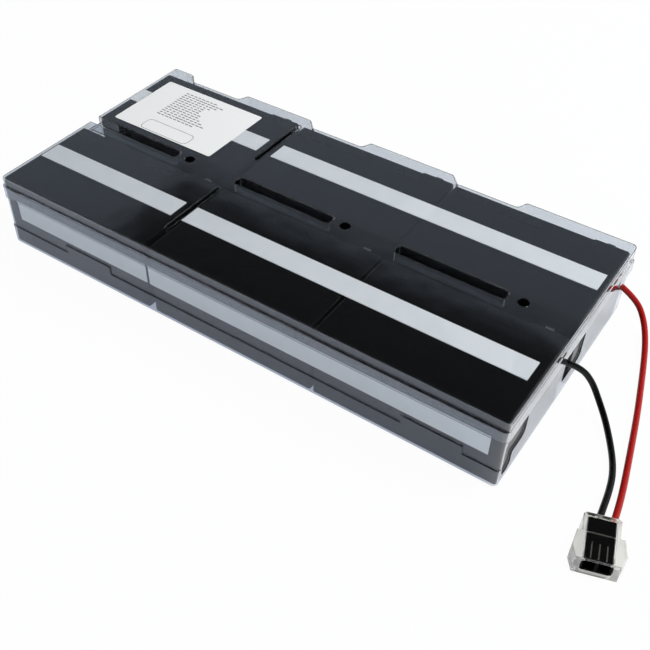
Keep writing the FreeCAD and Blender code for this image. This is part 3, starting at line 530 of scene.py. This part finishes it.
def print_tree(ink):
    """Geometry tree of the label's print: ragged rows of word bars over an outlined field."""
    tree = bpy.data.node_groups.new("label_print", "GeometryNodeTree")
    tree.interface.new_socket(name="Geometry", in_out="OUTPUT", socket_type="NodeSocketGeometry")
    for name, kind in (("Words", "Int"), ("Rows", "Int"), ("Word step", "Float"), ("Row step", "Float"),
                       ("Ink height", "Float"), ("Rows place", "Vector"), ("Field length", "Float"),
                       ("Field width", "Float"), ("Field place", "Vector"), ("Seed", "Int")):
        tree.interface.new_socket(name=name, in_out="INPUT", socket_type="NodeSocket" + kind)
    given = {socket.name: socket for socket in add_node(tree, "NodeGroupInput").outputs}
    for name, operation, first, second in (
            ("word gaps", "SUBTRACT", "Words", 1.0), ("row gaps", "SUBTRACT", "Rows", 1.0),
            ("longest row", "MULTIPLY", "word gaps", "Word step"), ("all rows", "MULTIPLY", "row gaps", "Row step"),
            ("farthest end", "MULTIPLY", "longest row", FARTHEST_END),
            ("nearest end", "MULTIPLY", "farthest end", NEAREST_END),
            ("shortest word", "MULTIPLY", "Word step", SHORTEST_WORD),
            ("longest word", "MULTIPLY", "Word step", LONGEST_WORD),
            ("bar height", "MULTIPLY", "Row step", BAR_HEIGHT), ("field line", "MULTIPLY", "Row step", FIELD_LINE),
            ("field corner", "MULTIPLY", "Field width", FIELD_CORNER)):
        given[name] = add_node(tree, "ShaderNodeMath", {0: given[first], 1: given.get(second, second)},
                               operation=operation).outputs[0]
    # One point for each word; a row keeps those that lie before its own random end
    grid = add_node(tree, "GeometryNodeMeshGrid", {
        "Size X": given["longest row"], "Size Y": given["all rows"],
        "Vertices X": given["Words"], "Vertices Y": given["Rows"]})
    spot = add_node(tree, "ShaderNodeSeparateXYZ", {
        0: add_node(tree, "GeometryNodeInputPosition").outputs[0]}).outputs
    steps = add_node(tree, "ShaderNodeMath", {0: spot["Y"], 1: given["Row step"]}, operation="DIVIDE")
    row = add_node(tree, "ShaderNodeMath", {0: steps.outputs[0], 1: given["Rows"]}, operation="ADD")
    ragged = add_node(tree, "FunctionNodeRandomValue", {
        2: given["nearest end"], 3: given["farthest end"], "ID": row.outputs[0], "Seed": given["Seed"]},
        data_type="FLOAT")
    kept = add_node(tree, "FunctionNodeCompare", {0: spot["X"], 1: ragged.outputs[1]}, data_type="FLOAT",
                    operation="LESS_THAN")
    wide = add_node(tree, "FunctionNodeRandomValue", {
        2: given["shortest word"], 3: given["longest word"], "Seed": given["Seed"]}, data_type="FLOAT")
    size = add_node(tree, "ShaderNodeCombineXYZ", {
        "X": wide.outputs[1], "Y": given["bar height"], "Z": given["Ink height"]})
    bar = add_node(tree, "GeometryNodeMeshCube", {"Size": (1.0, 1.0, 1.0)})
    bars = add_node(tree, "GeometryNodeInstanceOnPoints", {
        "Points": grid.outputs[0], "Selection": kept.outputs[0], "Instance": bar.outputs[0], "Scale": size.outputs[0]})
    rows = add_node(tree, "GeometryNodeTransform", {"Geometry": bars.outputs[0], "Translation": given["Rows place"]})
    # The field's rounded outline, swept by a flat line
    outline = add_node(tree, "GeometryNodeCurvePrimitiveQuadrilateral", {
        "Width": given["Field length"], "Height": given["Field width"]})
    rounded = add_node(tree, "GeometryNodeFilletCurve", {
        "Curve": outline.outputs[0], "Count": 6, "Radius": given["field corner"], "Limit Radius": True}, mode="POLY")
    line = add_node(tree, "GeometryNodeCurvePrimitiveQuadrilateral", {
        "Width": given["field line"], "Height": given["Ink height"]})
    ring = add_node(tree, "GeometryNodeCurveToMesh", {"Curve": rounded.outputs[0], "Profile Curve": line.outputs[0]})
    field = add_node(tree, "GeometryNodeTransform", {"Geometry": ring.outputs[0], "Translation": given["Field place"]})
    joined = add_node(tree, "GeometryNodeJoinGeometry")
    for group in (field, rows):
        tree.links.new(group.outputs[0], joined.inputs[0])
    solid = add_node(tree, "GeometryNodeRealizeInstances", {0: joined.outputs[0]})
    inked = add_node(tree, "GeometryNodeSetMaterial", {"Geometry": solid.outputs[0], "Material": ink})
    add_node(tree, "NodeGroupOutput", {0: inked.outputs[0]})
    return tree


def grown(name, tree, values):
    """Plain mesh piece that a geometry tree makes from named values."""
    piece = link_object(name, bpy.data.meshes.new(name + "_seed"))
    modifier = piece.modifiers.new(name, "NODES")
    modifier.node_group = tree
    for item in tree.interface.items_tree:
        if item.item_type == "SOCKET" and item.in_out == "INPUT":
            modifier[item.identifier] = values[item.name]
    bpy.context.view_layer.update()
    made = bpy.data.meshes.new_from_object(piece.evaluated_get(bpy.context.evaluated_depsgraph_get()))
    if not made.polygons:
        raise ValueError("the tree of %s made nothing" % name)
    piece.modifiers.clear()
    piece.data = made
    return piece


class BATTERY_OT_label(bpy.types.Operator):
    """Finish the label and print it with plain rows."""
    bl_idname = "battery.label"
    bl_label = "Label"

    def execute(self, context):
        props = context.scene.battery_trim
        finish_nodes(coated_paper(props), "label")
        low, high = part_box("label")
        top = high.z + INK_LIFT
        piece = grown("label_print", print_tree(printing_ink(props)), {
            "Words": props.words, "Rows": props.rows, "Word step": props.word_step, "Row step": props.row_step,
            "Ink height": INK_HEIGHT, "Rows place": Vector((low.x + ROWS_FROM_LEFT, high.y - ROWS_FROM_BACK, top)),
            "Field length": FIELD_LENGTH, "Field width": FIELD_WIDTH,
            "Field place": Vector((low.x + FIELD_FROM_LEFT, low.y + FIELD_FROM_FRONT, top)), "Seed": props.seed})
        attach(piece, BODY)
        return {"FINISHED"}


class BATTERY_OT_links(bpy.types.Operator):
    """Finish the wires inside the shell."""
    bl_idname = "battery.links"
    bl_label = "Wires inside"

    def execute(self, context):
        props = context.scene.battery_leads
        finish_nodes(pvc_insulation("black_pvc_link", props.black), "link_", "negative_lead_tail")
        finish_nodes(pvc_insulation("red_pvc_tail", props.red), "positive_lead_tail")
        return {"FINISHED"}


def free_lead(name, route, diameter, material):
    """Round lead on a smooth curve that the route's points control."""
    curve = bpy.data.curves.new(name, "CURVE")
    curve.dimensions = "3D"
    curve.bevel_depth = diameter / 2
    curve.bevel_resolution = 6
    curve.use_fill_caps = True
    spline = curve.splines.new("NURBS")
    spline.points.add(len(route) - 1)
    for point, place in zip(spline.points, route):
        point.co = (*(value * MM for value in place), 1.0)
    spline.order_u = 3
    spline.use_endpoint_u = True
    spline.resolution_u = 12
    curve.materials.append(material)
    lead = link_object(name, curve)
    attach(lead, BODY)
    return lead


class BATTERY_OT_leads(bpy.types.Operator):
    """Lay the two free leads from the end wall to the connector."""
    bl_idname = "battery.leads"
    bl_label = "Free leads"

    def execute(self, context):
        props = context.scene.battery_leads
        red = free_lead("red_lead", POSITIVE_ROUTE, props.diameter, pvc_insulation("red_pvc_lead", props.red))
        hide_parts("positive_lead")
        black = free_lead("black_lead", NEGATIVE_ROUTE, props.diameter,
                          pvc_insulation("black_pvc_lead", props.black))
        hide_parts("negative_lead")
        return {"FINISHED"}


class BATTERY_OT_connector(bpy.types.Operator):
    """Finish the two-pole connector."""
    bl_idname = "battery.connector"
    bl_label = "Connector"

    def execute(self, context):
        props = context.scene.battery_connector
        finish_nodes(clear_housing(props), "connector_housing")
        finish_nodes(slotted_nylon(props), "connector_core")
        return {"FINISHED"}


def studio_floor(props):
    """White studio paper: plain white to the eye with a soft shadow, and a painted reflection in what the glossy
    pieces mirror: cool and dimmer in front, whiter beside the end.
    """
    material, tree, place = new_material("white_studio_floor")
    rays = add_node(tree, "ShaderNodeLightPath").outputs
    spot = add_node(tree, "ShaderNodeSeparateXYZ", {0: place}).outputs
    passed = add_node(tree, "ShaderNodeMath", {0: rays["Is Transmission Ray"], 1: FLOOR_THROUGH},
                      operation="MULTIPLY")
    direct = add_node(tree, "ShaderNodeMath", {0: rays["Is Camera Ray"], 1: FLOOR_SEEN}, operation="MULTIPLY")
    seen = add_node(tree, "ShaderNodeMath", {0: passed.outputs[0], 1: direct.outputs[0]}, operation="MAXIMUM")
    # Rays through the hoods also count as glossy, so the floor behind the pack leaves them out
    behind = add_node(tree, "ShaderNodeMapRange", {
        "Value": spot["Y"], "From Min": FLOOR_TO_BACK[0], "From Max": FLOOR_TO_BACK[1]})
    through = add_node(tree, "ShaderNodeMath", {0: rays["Is Transmission Ray"], 1: behind.outputs[0]},
                       operation="MULTIPLY")
    bounced = add_node(tree, "ShaderNodeMath", {0: rays["Is Glossy Ray"], 1: through.outputs[0]},
                       operation="SUBTRACT", use_clamp=True)
    # Painted reflection: the floor that the front walls mirror gets less plain white and a cool tint, the floor beside
    # the end more white
    beside = add_node(tree, "ShaderNodeMapRange", {
        "Value": spot["X"], "From Min": FLOOR_TO_SIDE[0], "From Max": FLOOR_TO_SIDE[1],
        "To Min": PAINTED_REFLECTION_AHEAD, "To Max": PAINTED_REFLECTION_BESIDE})
    painted_reflection = add_node(tree, "ShaderNodeMath", {0: bounced.outputs[0], 1: beside.outputs[0]}, operation="MULTIPLY")
    ahead = add_node(tree, "ShaderNodeMapRange", {
        "Value": spot["X"], "From Min": FLOOR_TO_SIDE[0], "From Max": FLOOR_TO_SIDE[1],
        "To Min": 1.0, "To Max": 0.0})
    cool = add_node(tree, "ShaderNodeMath", {0: bounced.outputs[0], 1: ahead.outputs[0]}, operation="MULTIPLY")
    plain = add_node(tree, "ShaderNodeMath", {0: seen.outputs[0], 1: painted_reflection.outputs[0]}, operation="MAXIMUM")
    tone = add_node(tree, "ShaderNodeMix", {"Factor": cool.outputs[0], "A": WHITE, "B": props.painted_reflection},
                    data_type="RGBA")
    matt = add_node(tree, "ShaderNodeBsdfDiffuse", {"Color": props.floor})
    glow = add_node(tree, "ShaderNodeEmission", {"Color": tone.outputs["Result"], "Strength": 1.0})
    paper = add_node(tree, "ShaderNodeMixShader", {0: plain.outputs[0], 1: matt.outputs[0], 2: glow.outputs[0]})
    add_node(tree, "ShaderNodeOutputMaterial", {"Surface": paper.outputs[0]})
    return material


def tent_world(props):
    """Light tent: white low down, grey-blue walls to a straight top edge on each side, dark above."""
    world = bpy.data.worlds.new("light_tent")
    world.use_nodes = True
    tree = world.node_tree
    tree.nodes.clear()
    way = add_node(tree, "ShaderNodeSeparateXYZ", {
        0: add_node(tree, "ShaderNodeTexCoord").outputs["Generated"]}).outputs
    slopes = []
    for axis, slope in (("X", TENT_SIDES), ("Y", TENT_FRONT)):
        side = add_node(tree, "ShaderNodeMath", {0: way[axis]}, operation="ABSOLUTE")
        slopes.append(add_node(tree, "ShaderNodeMath", {0: side.outputs[0], 1: slope}, operation="MULTIPLY"))
    edge = add_node(tree, "ShaderNodeMath", {0: slopes[0].outputs[0], 1: slopes[1].outputs[0]}, operation="MAXIMUM")
    above = add_node(tree, "ShaderNodeMath", {0: way["Z"], 1: edge.outputs[0]}, operation="SUBTRACT")
    wall = add_node(tree, "ShaderNodeMapRange", {
        "Value": above.outputs[0], "From Min": -TENT_EDGE, "From Max": TENT_EDGE, "To Min": 1.0, "To Max": 0.0},
        interpolation_type="SMOOTHSTEP")
    low = add_node(tree, "ShaderNodeMapRange", {
        "Value": way["Z"], "From Min": TENT_WHITE[0], "From Max": TENT_WHITE[1], "To Min": 1.0, "To Max": 0.0},
        interpolation_type="SMOOTHSTEP")
    high = add_node(tree, "ShaderNodeMix", {"Factor": wall.outputs[0], "A": props.roof, "B": props.wall},
                    data_type="RGBA")
    tone = add_node(tree, "ShaderNodeMix", {"Factor": low.outputs[0], "A": high.outputs["Result"], "B": WHITE},
                    data_type="RGBA")
    glow = add_node(tree, "ShaderNodeBackground", {"Color": tone.outputs["Result"], "Strength": 1.0})
    add_node(tree, "ShaderNodeOutputWorld", {"Surface": glow.outputs[0]})
    return world


def studio_camera():
    """Camera at the viewing angle of the photograph."""
    data = bpy.data.cameras.new("camera")
    data.sensor_width = CAMERA_SENSOR
    data.lens = CAMERA_LENS
    data.clip_start = CAMERA_NEAREST
    azimuth, elevation, roll = (math.radians(value) for value in (CAMERA_AZIMUTH, CAMERA_ELEVATION, CAMERA_ROLL))
    ahead = Vector((-math.sin(azimuth) * math.cos(elevation), math.cos(azimuth) * math.cos(elevation),
                    -math.sin(elevation)))
    level = Vector((math.cos(azimuth), math.sin(azimuth), 0.0))
    upward = level.cross(ahead)
    right = math.cos(roll) * level + math.sin(roll) * upward
    top = math.cos(roll) * upward - math.sin(roll) * level
    turn = Matrix((right, top, -ahead)).transposed()
    camera = link_object("camera", data)
    camera.matrix_world = Matrix.Translation(CAMERA_PLACE) @ turn.to_4x4()
    return camera


class BATTERY_OT_stage(bpy.types.Operator):
    """Lay the floor, hang the light and set the camera."""
    bl_idname = "battery.stage"
    bl_label = "Stage"

    def execute(self, context):
        scene = context.scene
        props = scene.battery_stage
        scene.view_settings.view_transform = "Standard"
        half = props.floor_size / 2
        mesh = bpy.data.meshes.new("floor")
        corners = [(-half, -half), (half, -half), (half, half), (-half, half)]
        mesh.from_pydata([(x, y, -FLOOR_DROP) for x, y in corners], [], [(0, 1, 2, 3)])
        mesh.materials.append(studio_floor(props))
        link_object("floor", mesh)
        scene.world = tent_world(props)
        lamp = bpy.data.lights.new("softbox", "AREA")
        lamp.shape = "SQUARE"
        lamp.size = props.softbox_size
        lamp.energy = props.softbox_power
        softbox = link_object("softbox", lamp)
        softbox.location = SOFTBOX_PLACE
        softbox.rotation_euler = (-softbox.location).to_track_quat("-Z", "Y").to_euler()
        # The glossy pieces mirror the tent alone
        softbox.visible_glossy = False
        softbox.visible_transmission = False
        scene.camera = studio_camera()
        return {"FINISHED"}


OPERATORS = (BATTERY_OT_shell, BATTERY_OT_blocks, BATTERY_OT_terminals, BATTERY_OT_tape, BATTERY_OT_label,
             BATTERY_OT_links, BATTERY_OT_leads, BATTERY_OT_connector, BATTERY_OT_stage)


class BATTERY_PT_panel(bpy.types.Panel):
    """Buttons for every group of pieces."""
    bl_idname = "BATTERY_PT_panel"
    bl_label = "Battery pack"
    bl_space_type = "VIEW_3D"
    bl_region_type = "UI"
    bl_category = "Battery"

    def draw(self, context):
        for operator in OPERATORS:
            self.layout.operator(operator.bl_idname)


GROUPS = {
    "battery_shell": ShellProps, "battery_blocks": BlockProps, "battery_trim": TrimProps,
    "battery_leads": LeadProps, "battery_connector": ConnectorProps, "battery_stage": StageProps,
}


def register():
    """Register the property groups, the operators and the panel."""
    for name, group in GROUPS.items():
        bpy.utils.register_class(group)
        setattr(bpy.types.Scene, name, PointerProperty(type=group))
    for kind in (*OPERATORS, BATTERY_PT_panel):
        bpy.utils.register_class(kind)


def unregister():
    """Take away what register added."""
    for kind in (BATTERY_PT_panel, *reversed(OPERATORS)):
        bpy.utils.unregister_class(kind)
    for name, group in reversed(GROUPS.items()):
        delattr(bpy.types.Scene, name)
        bpy.utils.unregister_class(group)


def main():
    """Finish the pack, group by group."""
    register()
    bpy.ops.battery.leads()
    bpy.ops.battery.stage()
    bpy.ops.battery.shell()
    bpy.ops.battery.blocks()
    bpy.ops.battery.terminals()
    bpy.ops.battery.tape()
    bpy.ops.battery.label()
    bpy.ops.battery.links()
    bpy.ops.battery.connector()


if __name__ == "__main__":
    main()
